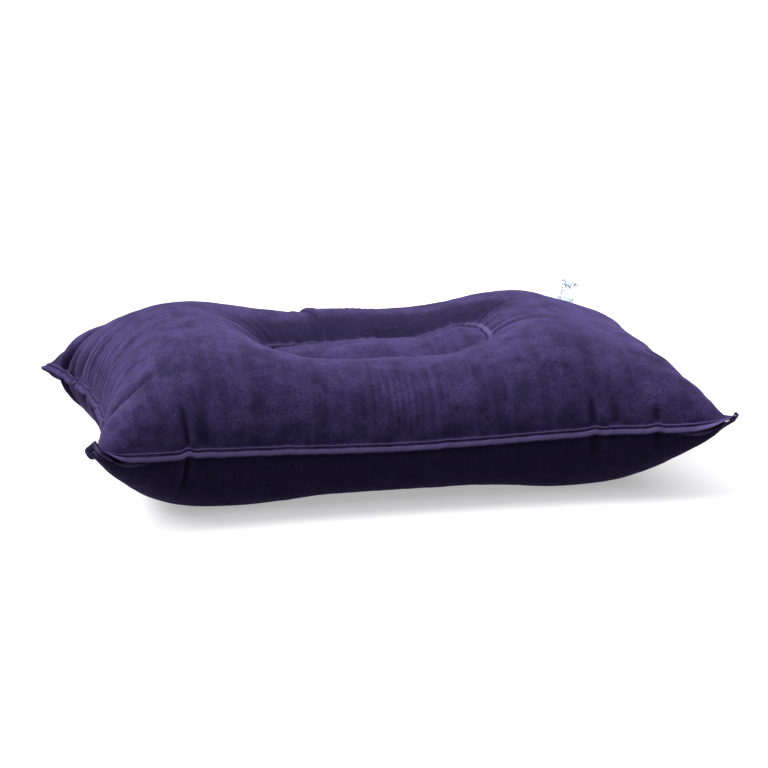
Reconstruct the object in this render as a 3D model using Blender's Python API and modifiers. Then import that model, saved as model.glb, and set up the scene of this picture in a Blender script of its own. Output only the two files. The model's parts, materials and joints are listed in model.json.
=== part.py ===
"""Inflatable camp pillow: two flocked vinyl sheets welded together round their edges, an oval tie band
welded between them under the middle, and a push-in blow valve with a tethered plug near the back
right corner.

Metres, +Z up. The origin is the middle of the underside: +X runs along the pillow and +Y towards its back.
"""

import math

import bmesh
import bpy
from mathutils import Matrix, Vector
from mathutils.bvhtree import BVHTree

# Sheets, as inflated
TIP_X = 0.2275          # half the length over the corner tips
TIP_Y = 0.1445          # half the width over the corner tips
PULL_X = 0.0190         # how far the middle of a short side is drawn in behind its tips
PULL_Y = 0.0195         # how far the middle of a long side is drawn in behind its tips
PULL_POWER = 4          # a high power keeps the sides straight and the tips pointed
WELD_WIDTH = 0.007      # flat welded border round the sheets
SHEET = 0.0005          # vinyl with its flock
SEAM_Z = 0.0550         # height of the welded border
TIP_LIFT = 0.0050       # how much higher the corner tips stand
SEAM_GAP = 0.0003       # left between the two sheets
TOP_RISE = 0.0815       # rise of the top sheet over the seam, before the band pulls it down
FOOT_DROP = 0.0700      # drop of the bottom sheet under the seam, past the ground it lies on
TOP_END_POWER = 2.85    # roundness of the top sheet's bulge towards the short sides
FOOT_END_POWER = 4.5    # and of the bottom sheet's
SIDE_POWER = 3.0        # roundness of the bulge towards the long sides
TOP_CELLS = (44, 28)
BOTTOM_CELLS = (36, 24)

# Oval tie band and the hollow that it makes in the top sheet
RING_X = 0.0800
RING_Y = 0.0370
RING_POWER = 2.5
RING_PULL = 0.0450      # how far the band holds the top sheet down along the oval
RING_REACH = 0.0480     # how far outside the oval that pull is felt
RING_FADE = 1.4
ISLAND_RISE = 0.0060    # crown of the sheet inside the oval
BAND_TRIM = 0.0006      # between the band's edges and the sheets
BAND_STEPS = 96
AIR_HOLE_RADIUS = 0.010
AIR_HOLE_Z = 0.045

# Blow valve: heights are along its own axis, from the outside of the top sheet
VALVE_XY = (0.170, 0.094)
SHEET_HOLE_RADIUS = 0.0086
BASE_RADIUS = 0.0140
BASE_HOLE_RADIUS = 0.0080
BASE_TOP = -0.0036
BASE_THICKNESS = 0.0008
STEM_RADIUS = 0.0054
BORE_RADIUS = 0.0040
STEM_FOOT = -0.0090
STEM_TOP = 0.0150
RIM_RADIUS = 0.0063
RIM_THICKNESS = 0.0012
COLLAR_RADIUS = 0.0062
COLLAR_Z = 0.0030
COLLAR_HALF = 0.0006
SKIRT_THICKNESS = 0.0006
CLEARANCE = 0.0003      # between pieces that meet
FLAP_RADIUS = 0.0046
FLAP_THICKNESS = 0.0005
FLAP_HINGE_X = -0.0050
PLUG_TOP_RADIUS = 0.0037
PLUG_TIP_RADIUS = 0.0029
PLUG_LENGTH = 0.0040
CAP_RADIUS = 0.0056
CAP_THICKNESS = 0.0014
TAB_LENGTH = 0.0045
TAB_WIDTH = 0.0050
TAB_THICKNESS = 0.0009
TAB_DROP = 0.0001       # the tab's top lies this much under the cap's
TAB_ROOT = 0.0015       # how far the tab runs into the cap
HINGE_X = 0.0082
HINGE_Z = 0.0142
KNUCKLE_RADIUS = 0.00055
STRAP_WIDTH = 0.0040
STRAP_THICKNESS = 0.0010
STRAP_WAIST = 0.8       # the arm's width, as a share of the strap's
LUG_END_X = 0.0073
LUG_Z = (0.0126, 0.0138)
ROUND_STEPS = 32


# --- the pillow's form ---------------------------------------------------------------------------------

def across(grid_value, cells):
    """(signed 0 to 1 place on the inflated body, 0 to 1 place on the weld) for a grid value of -1 to 1."""
    steps = abs(grid_value) * cells / 2
    body = min(steps / (cells / 2 - 1), 1.0)
    weld = max(steps - (cells / 2 - 1), 0.0)
    eased = 1 - (1 - body) ** 1.2
    return math.copysign(eased, grid_value), weld


def plan(a, weld_a, b, weld_b):
    """Where a place on a sheet lies in plan."""
    half_x = TIP_X - WELD_WIDTH - PULL_X * (1 - abs(b) ** PULL_POWER)
    half_y = TIP_Y - WELD_WIDTH - PULL_Y * (1 - abs(a) ** PULL_POWER)
    x = a * half_x + math.copysign(weld_a * WELD_WIDTH, a)
    y = b * half_y + math.copysign(weld_b * WELD_WIDTH, b)
    return x, y


def bulge(a, b, end_power):
    """0 along the weld, 1 in the middle."""
    return math.sqrt((1 - abs(a) ** end_power) * (1 - abs(b) ** SIDE_POWER))


def band_pull(x, y):
    """How far the tie band holds the top sheet down at (x, y)."""
    ring = ((abs(x) / RING_X) ** RING_POWER + (abs(y) / RING_Y) ** RING_POWER) ** (1 / RING_POWER)
    if ring <= 1:
        return RING_PULL - ISLAND_RISE * (1 - ring**2)
    outside = (ring - 1) * math.hypot(x, y) / ring
    return RING_PULL * math.exp(-((outside / RING_REACH) ** RING_FADE))


def seam_height(a, b):
    return SEAM_Z + TIP_LIFT * (a * b) ** PULL_POWER


def top_point(a, weld_a, b, weld_b):
    x, y = plan(a, weld_a, b, weld_b)
    rise = bulge(a, b, TOP_END_POWER) * (TOP_RISE - band_pull(x, y))
    return Vector((x, y, seam_height(a, b) + SEAM_GAP / 2 + SHEET + rise))


def bottom_point(a, weld_a, b, weld_b):
    x, y = plan(a, weld_a, b, weld_b)
    drop = bulge(a, b, FOOT_END_POWER) * FOOT_DROP
    return Vector((x, y, max(0.0, seam_height(a, b) - SEAM_GAP / 2 - SHEET - drop)))


# --- helpers --------------------------------------------------------------------------------------------

def finish(obj, name, colour, roughness, alpha=1.0):
    """Names the object, gives it a material of its own and files it with the parts."""
    obj.name = name
    obj.data.name = name
    material = bpy.data.materials.new(name)
    material.use_nodes = True
    shader = material.node_tree.nodes["Principled BSDF"]
    shader.inputs["Base Color"].default_value = (*colour, 1.0)
    shader.inputs["Roughness"].default_value = roughness
    shader.inputs["Metallic"].default_value = 0.0
    shader.inputs["Alpha"].default_value = alpha
    obj.data.materials.clear()
    obj.data.materials.append(material)
    file_in(obj, PARTS)
    return obj


def file_in(obj, collection):
    for old in list(obj.users_collection):
        old.objects.unlink(obj)
    collection.objects.link(obj)


def cutter(obj, name):
    obj.name = name
    obj.hide_render = True
    obj.display_type = "WIRE"
    file_in(obj, CUTTERS)
    return obj


def cylinder(radius, low, high, steps=ROUND_STEPS, place=None):
    """A closed cylinder along its own Z, from low to high, put at a place."""
    bpy.ops.mesh.primitive_cylinder_add(vertices=steps, radius=radius, depth=high - low)
    obj = bpy.context.object
    obj.data.transform(Matrix.Translation((0, 0, (low + high) / 2)))
    obj.matrix_world = place or Matrix.Identity(4)
    return obj


def box(low, high):
    """A closed box between two corners."""
    bpy.ops.mesh.primitive_cube_add(size=1)
    obj = bpy.context.object
    size = [h - l for l, h in zip(low, high)]
    middle = [(h + l) / 2 for l, h in zip(low, high)]
    obj.data.transform(Matrix.Translation(middle) @ Matrix.Diagonal((*size, 1.0)))
    return obj


def turned(profile, steps=ROUND_STEPS):
    """A closed profile of (radius, height) points turned about Z. It runs down its outer side first."""
    mesh = bpy.data.meshes.new("profile")
    edges = [(i, (i + 1) % len(profile)) for i in range(len(profile))]
    mesh.from_pydata([(r, 0, z) for r, z in profile], edges, [])
    obj = bpy.data.objects.new("turned", mesh)
    bpy.context.scene.collection.objects.link(obj)
    screw = obj.modifiers.new("Turn", "SCREW")
    screw.steps = steps
    screw.render_steps = steps
    screw.use_merge_vertices = True
    screw.merge_threshold = 0.00001
    screw.use_smooth_shade = True
    return obj


def boolean(obj, other, operation):
    modifier = obj.modifiers.new(operation.title(), "BOOLEAN")
    modifier.operation = operation
    modifier.solver = "EXACT"
    modifier.object = other


def smooth(obj, angle=40):
    obj.data.shade_smooth()
    obj.data.set_sharp_from_angle(angle=math.radians(angle))


def put_in(obj, parent, place):
    """Parents an object to an empty, with its own place in the world."""
    obj.parent = parent
    obj.matrix_parent_inverse = Matrix.Identity(4)
    obj.matrix_local = parent.matrix_world.inverted() @ place


# --- the sheets and the band ----------------------------------------------------------------------------

def sheet(name, cells, point, faces_up):
    """One welded sheet: a grid bent to its inflated form and thickened inwards."""
    bpy.ops.mesh.primitive_grid_add(x_subdivisions=cells[0], y_subdivisions=cells[1], size=2)
    obj = bpy.context.object
    for vertex in obj.data.vertices:
        along = across(vertex.co.x, cells[0])
        over = across(vertex.co.y, cells[1])
        vertex.co = point(*along, *over)
    if not faces_up:
        obj.data.flip_normals()
    thicken = obj.modifiers.new("Vinyl", "SOLIDIFY")
    thicken.thickness = SHEET
    thicken.offset = -1
    smooth(obj)
    return finish(obj, name, (0.055, 0.040, 0.135), 0.85)


def tie_band(top, bottom):
    """An upright oval band between the sheets, trimmed to both, with four round air holes."""
    graph = bpy.context.evaluated_depsgraph_get()
    over = BVHTree.FromObject(top, graph)
    under = BVHTree.FromObject(bottom, graph)
    bpy.ops.mesh.primitive_cylinder_add(vertices=BAND_STEPS, radius=1, depth=1, end_fill_type="NOTHING")
    obj = bpy.context.object
    for vertex in obj.data.vertices:
        c, s = vertex.co.x, vertex.co.y
        x = RING_X * math.copysign(abs(c) ** (2 / RING_POWER), c)
        y = RING_Y * math.copysign(abs(s) ** (2 / RING_POWER), s)
        start = Vector((x, y, AIR_HOLE_Z))
        if vertex.co.z > 0:
            z = over.ray_cast(start, Vector((0, 0, 1)))[0].z - BAND_TRIM
        else:
            z = under.ray_cast(start, Vector((0, 0, -1)))[0].z + BAND_TRIM
        vertex.co = (x, y, z)
    thicken = obj.modifiers.new("Vinyl", "SOLIDIFY")
    thicken.thickness = SHEET
    thicken.offset = 0
    reach = RING_X * 1.2
    for name, turn in (("air_holes_ends", Matrix.Rotation(math.pi / 2, 4, "Y")),
                       ("air_holes_sides", Matrix.Rotation(math.pi / 2, 4, "X"))):
        place = Matrix.Translation((0, 0, AIR_HOLE_Z)) @ turn
        boolean(obj, cutter(cylinder(AIR_HOLE_RADIUS, -reach, reach, place=place), name), "DIFFERENCE")
    smooth(obj)
    return finish(obj, "ring_web", (0.10, 0.09, 0.16), 0.6)


# --- the valve ------------------------------------------------------------------------------------------

def valve_place():
    """The valve's axis as a matrix: its origin on the top sheet, +Z out along the sheet's normal."""
    target_x, target_y = VALVE_XY
    a, b = 0.7, 0.6
    for _ in range(40):
        x, y = plan(a, 0, b, 0)
        a += (target_x - x) / TIP_X
        b += (target_y - y) / TIP_Y
    near = 0.03
    along = top_point(a + near, 0, b, 0) - top_point(a - near, 0, b, 0)
    over = top_point(a, 0, b + near, 0) - top_point(a, 0, b - near, 0)
    up = along.cross(over).normalized()
    right = (Vector((1, 0, 0)) - up * up.x).normalized()
    back = up.cross(right)
    turn = Matrix((right, back, up)).transposed().to_4x4()
    return Matrix.Translation(top_point(a, 0, b, 0)) @ turn


def valve_base(axis):
    """Flat flange, welded to the inside of the top sheet round its hole."""
    low = BASE_TOP - BASE_THICKNESS
    obj = turned([(BASE_RADIUS, BASE_TOP), (BASE_RADIUS, low), (BASE_HOLE_RADIUS, low),
                  (BASE_HOLE_RADIUS, BASE_TOP)], 48)
    obj.matrix_world = axis
    return finish(obj, "valve_base", (0.80, 0.84, 0.88), 0.25, 0.45)


def valve_skirt(axis):
    """Thin cone from the flange to the stem's collar. It rolls inside out when the stem is pushed in."""
    outer = BASE_HOLE_RADIUS - CLEARANCE
    inner = STEM_RADIUS + CLEARANCE
    low = BASE_TOP - BASE_THICKNESS
    high = COLLAR_Z - COLLAR_HALF - CLEARANCE
    obj = turned([(inner + SKIRT_THICKNESS, high), (outer, BASE_TOP), (outer, low),
                  (outer - SKIRT_THICKNESS, low), (outer - SKIRT_THICKNESS, BASE_TOP), (inner, high)])
    obj.matrix_world = axis
    return finish(obj, "valve_skirt", (0.80, 0.84, 0.88), 0.25, 0.45)


def valve_stem(axis):
    """Mouthpiece tube with a rim, a collar for the skirt and a lug for the plug's strap."""
    rim_low = STEM_TOP - RIM_THICKNESS
    obj = turned([
        (RIM_RADIUS, STEM_TOP), (RIM_RADIUS, rim_low), (STEM_RADIUS, rim_low - 0.0004),
        (STEM_RADIUS, COLLAR_Z + COLLAR_HALF), (COLLAR_RADIUS, COLLAR_Z + COLLAR_HALF),
        (COLLAR_RADIUS, COLLAR_Z - COLLAR_HALF), (STEM_RADIUS, COLLAR_Z - COLLAR_HALF),
        (STEM_RADIUS, STEM_FOOT), (BORE_RADIUS, STEM_FOOT), (BORE_RADIUS, STEM_TOP)])
    half = STRAP_WIDTH / 2
    wall_middle = (STEM_RADIUS + BORE_RADIUS) / 2
    lug = cutter(box((wall_middle, -half, LUG_Z[0]), (LUG_END_X, half, LUG_Z[1])), "strap_lug")
    boolean(obj, lug, "UNION")
    obj.matrix_world = axis
    lug.matrix_world = axis
    return finish(obj, "valve_stem", (0.80, 0.84, 0.88), 0.2, 0.45)


def check_flap(hinge, axis):
    """Disc under the stem's foot, which a breath opens and the pressure inside shuts."""
    high = STEM_FOOT - CLEARANCE
    obj = cylinder(FLAP_RADIUS, high - FLAP_THICKNESS, high)
    obj.data.transform(hinge.matrix_world.inverted() @ axis)
    smooth(obj)
    put_in(obj, hinge, hinge.matrix_world)
    return finish(obj, "check_flap", (0.80, 0.84, 0.88), 0.3, 0.5)


def valve_plug(hinge, axis):
    """Tapered plug under a round cap with a pull tab."""
    cap_low = STEM_TOP + CLEARANCE
    cap_high = cap_low + CAP_THICKNESS
    bpy.ops.mesh.primitive_cone_add(
        vertices=ROUND_STEPS, radius1=PLUG_TIP_RADIUS, radius2=PLUG_TOP_RADIUS, depth=PLUG_LENGTH)
    obj = bpy.context.object
    obj.data.transform(Matrix.Translation((0, 0, cap_low - PLUG_LENGTH / 2 + 0.0002)))
    cap = cutter(cylinder(CAP_RADIUS, cap_low, cap_high), "plug_cap")
    half = TAB_WIDTH / 2
    tab_low = (-CAP_RADIUS - TAB_LENGTH, -half, cap_high - TAB_DROP - TAB_THICKNESS)
    tab_high = (-CAP_RADIUS + TAB_ROOT, half, cap_high - TAB_DROP)
    tab = cutter(box(tab_low, tab_high), "plug_tab")
    move = hinge.matrix_world.inverted() @ axis
    obj.data.transform(move)
    for piece in (cap, tab):
        boolean(obj, piece, "UNION")
        piece.matrix_world = axis
    put_in(obj, hinge, hinge.matrix_world)
    smooth(obj)
    return finish(obj, "valve_plug", (0.80, 0.84, 0.88), 0.2, 0.45)


def plug_strap(hinge, axis):
    """Short strap from the stem's lug to the cap. Its thin root is the hinge that the plug swings on."""
    half = STRAP_WIDTH / 2
    low = STEM_TOP + CLEARANCE
    bpy.ops.mesh.primitive_cylinder_add(vertices=16, radius=KNUCKLE_RADIUS, depth=STRAP_WIDTH)
    obj = bpy.context.object
    obj.data.transform(Matrix.Rotation(math.pi / 2, 4, "X"))
    out = HINGE_X + KNUCKLE_RADIUS
    high = low + STRAP_THICKNESS
    riser = cutter(box((HINGE_X - KNUCKLE_RADIUS, -half, HINGE_Z), (out, half, high)), "strap_riser")
    half *= STRAP_WAIST
    arm = cutter(box((CAP_RADIUS + CLEARANCE, -half, low + TAB_DROP), (out, half, high)), "strap_arm")
    for piece in (riser, arm):
        boolean(obj, piece, "UNION")
        piece.matrix_world = axis
    put_in(obj, hinge, hinge.matrix_world)
    return finish(obj, "plug_strap", (0.80, 0.84, 0.88), 0.2, 0.45)


def empty_at(name, place):
    obj = bpy.data.objects.new(name, None)
    obj.empty_display_size = 0.01
    bpy.context.scene.collection.objects.link(obj)
    obj.matrix_world = place
    return obj


def clear_scene():
    for obj in list(bpy.data.objects):
        bpy.data.objects.remove(obj, do_unlink=True)


def collection(name):
    made = bpy.data.collections.new(name)
    bpy.context.scene.collection.children.link(made)
    return made


clear_scene()
PARTS = collection("camp_pillow")
CUTTERS = collection("cutters")

top_sheet = sheet("top_sheet", TOP_CELLS, top_point, True)
bottom_sheet = sheet("bottom_sheet", BOTTOM_CELLS, bottom_point, False)
ring_web = tie_band(top_sheet, bottom_sheet)

AXIS = valve_place()
boolean(top_sheet, cutter(cylinder(SHEET_HOLE_RADIUS, -0.010, 0.010, 48, AXIS), "valve_hole"), "DIFFERENCE")
valve_base(AXIS)
valve_skirt(AXIS)
valve_stem(AXIS)
flap_hinge_place = AXIS @ Matrix.Translation((FLAP_HINGE_X, 0, STEM_FOOT - CLEARANCE - FLAP_THICKNESS / 2))
flap_hinge = empty_at("flap_hinge", flap_hinge_place)
plug_hinge = empty_at("plug_hinge", AXIS @ Matrix.Translation((HINGE_X, 0, HINGE_Z)))
bpy.context.view_layer.update()
check_flap(flap_hinge, AXIS)
valve_plug(plug_hinge, AXIS)
plug_strap(plug_hinge, AXIS)
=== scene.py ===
"""The finished look of the inflatable camp pillow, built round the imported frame.

The two flocked sheets are inflated by a small cloth solver: flat welded blanks under pressure, held by the
oval tie band and resting on the ground. Welds, creases and pleats are then pressed into the fine mesh.
"""

import math

import json

import bpy
import numpy as np
from mathutils import Matrix, Vector


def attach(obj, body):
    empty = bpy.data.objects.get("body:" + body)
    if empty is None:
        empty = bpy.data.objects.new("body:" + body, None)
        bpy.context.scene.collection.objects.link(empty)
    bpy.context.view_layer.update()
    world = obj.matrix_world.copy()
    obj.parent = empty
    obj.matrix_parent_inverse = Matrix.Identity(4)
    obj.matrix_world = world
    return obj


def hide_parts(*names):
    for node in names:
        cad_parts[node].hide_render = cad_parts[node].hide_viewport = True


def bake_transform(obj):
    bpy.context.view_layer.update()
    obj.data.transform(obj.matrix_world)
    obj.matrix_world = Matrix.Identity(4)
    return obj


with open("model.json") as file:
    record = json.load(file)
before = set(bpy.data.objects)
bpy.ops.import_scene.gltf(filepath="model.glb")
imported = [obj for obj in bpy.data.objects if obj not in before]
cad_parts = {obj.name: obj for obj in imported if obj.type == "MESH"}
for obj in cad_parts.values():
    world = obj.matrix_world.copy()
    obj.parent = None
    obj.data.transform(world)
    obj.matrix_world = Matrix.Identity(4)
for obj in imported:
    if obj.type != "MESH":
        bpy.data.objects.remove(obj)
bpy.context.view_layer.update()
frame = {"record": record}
JOINTS = {joint["name"]: joint for joint in frame["record"]["behaviour"]["joints"]}

# The flat blank that each sheet is cut to, metres
LENGTH, WIDTH, BORDER = 0.470, 0.300, 0.007
HALF_LENGTH, HALF_WIDTH = LENGTH / 2, WIDTH / 2
STRETCH = 1.03          # soft vinyl gives this much under pressure
VINYL = 0.0004
OVAL = (0.078, 0.037, 3.6)      # half length, half width and roundness of the tie band's weld
OVAL_SHIFT = -0.003     # the weld lies a little nearer the front
OVAL_TRIM = 0.90        # the sheet inside the weld is drawn in this much as it is welded
BAND_HEIGHT = 0.064
TIP_HEIGHTS = (0.065, 0.0615, 0.054, 0.050)      # front left, front right, back left, back right
PRESSURE, WEIGHT = 6.2e-5, 1.25e-6     # a step's push and pull, on the coarsest grid's points
VALVE_END_SAG = 0.15    # share of its height over SAG_FROM that the valve end gives up
SAG_FROM = 0.055
OVAL_END_LIFT, RIM_LIFT = 0.0095, 0.0030
SEED = 8

# The solver's grids, coarse to fine: cells, cells in the border, push-back of slack cloth, bending stiffness
STAGES = (((50, 32), 1, 0.3, 0.2), ((100, 64), 2, 0.8, 0.05), ((200, 128), 3, 1.0, 0.02))
SHEAR = 0.3
COARSE_CELL = 0.0094     # the coarsest grid's cell, for which the push and pull are stated


# --- inflating the blanks -------------------------------------------------------------------------------

def oval_points(count):
    turn = np.linspace(0, 2 * np.pi, count, endpoint=False)
    c, s = np.cos(turn), np.sin(turn)
    a, b, power = OVAL
    x = a * np.sign(c) * np.abs(c) ** (2 / power)
    y = b * np.sign(s) * np.abs(s) ** (2 / power) + OVAL_SHIFT
    return np.stack([x, y], 1)


def oval_distance(x, y):
    """Distance outside the band's weld on the flat blank, less than 0 inside."""
    a, b, power = OVAL
    y = y - OVAL_SHIFT
    ring = ((np.abs(x) / a) ** power + (np.abs(y) / b) ** power) ** (1 / power) + 1e-9
    return (ring - 1) * np.hypot(x, y) / ring


def pull(a, b, rest, taut, slack):
    """Moves points towards their rest distance: by taut when too far apart, by slack when too near."""
    gap = b - a
    far = np.sqrt(np.einsum("...i,...i->...", gap, gap)) + 1e-12
    share = 0.5 * np.where(far > rest, taut, slack) * (1 - rest / far)
    move = gap * share[..., None]
    a += move
    b -= move


def pull_along(points, axis, step, rest, taut, slack):
    """Links every point of the grid to the one that is step cells on along an axis, in separate passes."""
    count = points.shape[axis]
    for first in range(2 * step):
        pairs = len(range(first, count - step, 2 * step))
        if not pairs:
            continue
        near = [slice(None)] * 4
        far = [slice(None)] * 4
        last = (pairs - 1) * 2 * step + 1
        near[axis] = slice(first, first + last, 2 * step)
        far[axis] = slice(first + step, first + step + last, 2 * step)
        here = rest[tuple(near[1:3])] if isinstance(rest, np.ndarray) else rest
        pull(points[tuple(near)], points[tuple(far)], here, taut, slack)


class Grid:
    """What the solver needs to know about one fineness of the two sheets."""

    def __init__(self, cells, border):
        nx, ny = self.cells = cells
        self.border = border
        self.size = (LENGTH / nx, WIDTH / ny)
        in_x = np.minimum(np.arange(nx + 1), nx - np.arange(nx + 1))[:, None]
        in_y = np.minimum(np.arange(ny + 1), ny - np.arange(ny + 1))[None]
        inside = np.minimum(in_x, in_y) - border
        self.welded = inside <= 0
        self.give = 1 + (STRETCH - 1) * np.clip(inside * self.size[0] / 0.012, 0, 1)
        x = np.linspace(-HALF_LENGTH, HALF_LENGTH, nx + 1)[:, None]
        y = np.linspace(-HALF_WIDTH, HALF_WIDTH, ny + 1)[None]
        self.give = np.where(oval_distance(x, y) < 0, self.give * OVAL_TRIM, self.give)
        places = oval_points(240)
        u = (places[:, 0] + HALF_LENGTH) / self.size[0]
        v = (places[:, 1] + HALF_WIDTH) / self.size[1]
        i, j = u.astype(int), v.astype(int)
        a, b = u - i, v - j
        self.oval_i = np.stack([i, i + 1, i, i + 1], 1)
        self.oval_j = np.stack([j, j, j + 1, j + 1], 1)
        self.oval_share = np.stack([(1 - a) * (1 - b), a * (1 - b), (1 - a) * b, a * b], 1)
        self.oval_weight = (self.oval_share**2).sum(1)[:, None]
        low, high = slice(0, border + 1), (slice(nx - border, None), slice(ny - border, None))
        self.tips = ((low, low), (high[0], low), (low, high[1]), (high[0], high[1]))

    def on_oval(self, sheet):
        return (sheet[self.oval_i, self.oval_j] * self.oval_share[..., None]).sum(1)

    def hold_band(self, points):
        """Keeps the two sheets no further apart than the band's height all round the oval."""
        gap = self.on_oval(points[0]) - self.on_oval(points[1])
        far = np.linalg.norm(gap, axis=1, keepdims=True) + 1e-9
        move = gap / far * (far - BAND_HEIGHT).clip(0, None) * 0.25 / self.oval_weight
        for k in range(4):
            place = (self.oval_i[:, k], self.oval_j[:, k])
            share = self.oval_share[:, k : k + 1]
            np.add.at(points[0], place, -move * share)
            np.add.at(points[1], place, move * share)


def swelling(points, grid):
    """Each point's outward normal times its share of area, nothing on the weld."""
    along, over = np.zeros_like(points), np.zeros_like(points)
    along[:, 1:-1] = (points[:, 2:] - points[:, :-2]) / 2
    over[:, :, 1:-1] = (points[:, :, 2:] - points[:, :, :-2]) / 2
    push = np.cross(along, over) / (grid.size[0] * grid.size[1])
    push[1] *= -1
    push[:, grid.welded] = 0
    return push


def settle(points, grid, steps, stiff, bend):
    nx, ny = grid.cells
    hx, hy = grid.size
    scale = hx / COARSE_CELL
    diagonal = math.hypot(hx, hy) * grid.give
    rest_x = hx * (grid.give[:-1] + grid.give[1:]) / 2
    rest_y = hy * (grid.give[:, :-1] + grid.give[:, 1:]) / 2
    speed = np.zeros_like(points)
    for step in range(steps):
        before = points.copy()
        speed *= 0.97 if step < steps * 0.7 else 0.88
        speed += swelling(points, grid) * PRESSURE * scale
        speed[..., 2] -= WEIGHT * scale
        points += speed
        for _ in range(2):
            pull_along(points, 1, 2, 2 * hx, 0.0, bend)
            pull_along(points, 2, 2, 2 * hy, 0.0, bend)
            for first in (0, 1):
                row, next_row = slice(first, nx, 2), slice(first + 1, nx + 1, 2)
                rest = diagonal[row, :ny]
                pull(points[:, row, :ny], points[:, next_row, 1:], rest, SHEAR, SHEAR * stiff)
                pull(points[:, row, 1:], points[:, next_row, :ny], rest, SHEAR, SHEAR * stiff)
            pull_along(points, 1, 1, rest_x, 1.0, stiff)
            pull_along(points, 2, 1, rest_y, 1.0, stiff)
            grid.hold_band(points)
            middle = (points[0] + points[1]) / 2
            points[:, grid.welded] = middle[grid.welded]
            np.maximum(points[..., 2], 0, out=points[..., 2])
        for (i, j), height in zip(grid.tips, TIP_HEIGHTS):
            points[:, i, j, 2] += 0.05 * (height - points[:, i, j, 2].mean())
        grounded = points[..., 2] <= 1e-6
        points[grounded, :2] = before[grounded, :2] * 0.7 + points[grounded, :2] * 0.3
        points[..., :2] -= points[..., :2].mean((0, 1, 2))
        speed = points - before
    return points


def blanks(grid, random):
    """Both sheets, a little puffed so that the pressure knows which way is out."""
    x = np.linspace(-HALF_LENGTH, HALF_LENGTH, grid.cells[0] + 1)
    y = np.linspace(-HALF_WIDTH, HALF_WIDTH, grid.cells[1] + 1)
    flat_x, flat_y = np.meshgrid(x, y, indexing="ij")
    inside = np.minimum(HALF_LENGTH - np.abs(flat_x), HALF_WIDTH - np.abs(flat_y)) - BORDER
    puff = 0.04 * (1 - np.exp(-inside.clip(0, None) / 0.03))
    points = np.stack([np.stack([flat_x * 0.95, flat_y * 0.95, 0.05 + side * puff], 2) for side in (1, -1)])
    return points + random.normal(0, 0.0006, points.shape)


def halved(points):
    """The same surface on a grid twice as fine, cubic between the points."""
    for axis in (1, 2):
        points = np.moveaxis(points, axis, 0)
        fine = np.empty((2 * len(points) - 1, *points.shape[1:]))
        fine[::2] = points
        padded = np.concatenate([2 * points[:1] - points[1:2], points, 2 * points[-1:] - points[-2:-1]])
        fine[1::2] = (9 * (padded[1:-2] + padded[2:-1]) - padded[:-3] - padded[3:]) / 16
        points = np.moveaxis(fine, 0, axis)
    return points


def eased(points):
    """What handling leaves: a flatter valve end, one end of the oval standing up and one kink in the rim."""
    x, y, z = points[..., 0], points[..., 1], points[..., 2]
    sag = VALVE_END_SAG * np.exp(-(((x - 0.165) / 0.035) ** 2))
    above = smoothstep(0.035, 0.080, z)
    oval_end = OVAL_END_LIFT * smoothstep(0.030, 0.070, x) * (1 - smoothstep(0.080, 0.125, x))
    oval_end = oval_end * np.exp(-((y / 0.055) ** 4))
    rim = RIM_LIFT * smoothstep(-0.045, -0.039, x) * (1 - smoothstep(-0.03, 0.06, x))
    rim = rim * np.exp(-(((y - 0.072) / 0.026) ** 2))
    points[..., 2] += (oval_end + rim) * above - sag * np.maximum(z - SAG_FROM, 0)
    return straight_tips(points)


def straight_tips(points):
    """Takes the curl out of the four tips."""
    nx, ny = points.shape[1:3]
    in_x = np.minimum(np.arange(nx), nx - 1 - np.arange(nx))[:, None]
    in_y = np.minimum(np.arange(ny), ny - 1 - np.arange(ny))[None]
    near = 0.8 * np.exp(-(in_x**2 + in_y**2) / 11.0**2)
    near[0, 0] = near[0, -1] = near[-1, 0] = near[-1, -1] = 0
    for _ in range(40):
        z = np.pad(points[..., 2], ((0, 0), (1, 1), (1, 1)), "reflect", reflect_type="odd")
        smooth = (z[:, :-2, 1:-1] + z[:, 2:, 1:-1] + z[:, 1:-1, :-2] + z[:, 1:-1, 2:]) / 4
        points[..., 2] += near * (smooth - points[..., 2])
    return points


def inflate():
    random = np.random.default_rng(SEED)
    steps_by_stage = ((2500, 1200, 600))
    points = None
    for (cells, border, stiff, bend), steps in zip(STAGES, steps_by_stage):
        grid = Grid(cells, border)
        points = blanks(grid, random) if points is None else halved(points)
        points += random.normal(0, 0.0002, points.shape)
        points = settle(points, grid, steps, stiff, bend)
    return eased(points), grid


# --- welds, creases and pleats, on a grid of about 1.2 mm -----------------------------------------------

# Rows of the welded border, by distance out from the weld line
BORDER_ROWS = np.array([0.0, 0.4, 0.8, 1.2, 1.7, 2.2, 2.8, 3.4, 4.2, 5.2, 6.0, 6.6, 7.0]) / 1000
BORDER_DROOP = math.radians(64)
WALL = 0.00045          # from the middle of a weld to the outside of each sheet

# Sharp folds that cross the front seam: place, reach up, reach down, width, depth
FRONT_FOLDS = (
    (-0.1590, 0.036, 0.050, 0.0015, 0.0036),
    (-0.1470, 0.046, 0.020, 0.0040, 0.0010),
    (-0.0900, 0.012, 0.014, 0.0020, 0.0008),
    (0.0250, 0.012, 0.012, 0.0020, 0.0008),
    (0.1290, 0.030, 0.030, 0.0020, 0.0022),
    (0.1450, 0.036, 0.016, 0.0034, 0.0010),
    (0.1740, 0.022, 0.022, 0.0020, 0.0020),
)

# The fold beside each corner: distance from the middle, then width and depth of each kind
CORNER_FOLD = 0.1010
FRONT_CORNER, DEEP_CORNER, VALVE_CORNER = (0.0036, 0.0016), (0.0042, 0.0085), (0.0042, 0.0034)


def smoothstep(low, high, value):
    t = np.clip((value - low) / (high - low), 0, 1)
    return t * t * (3 - 2 * t)


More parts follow.
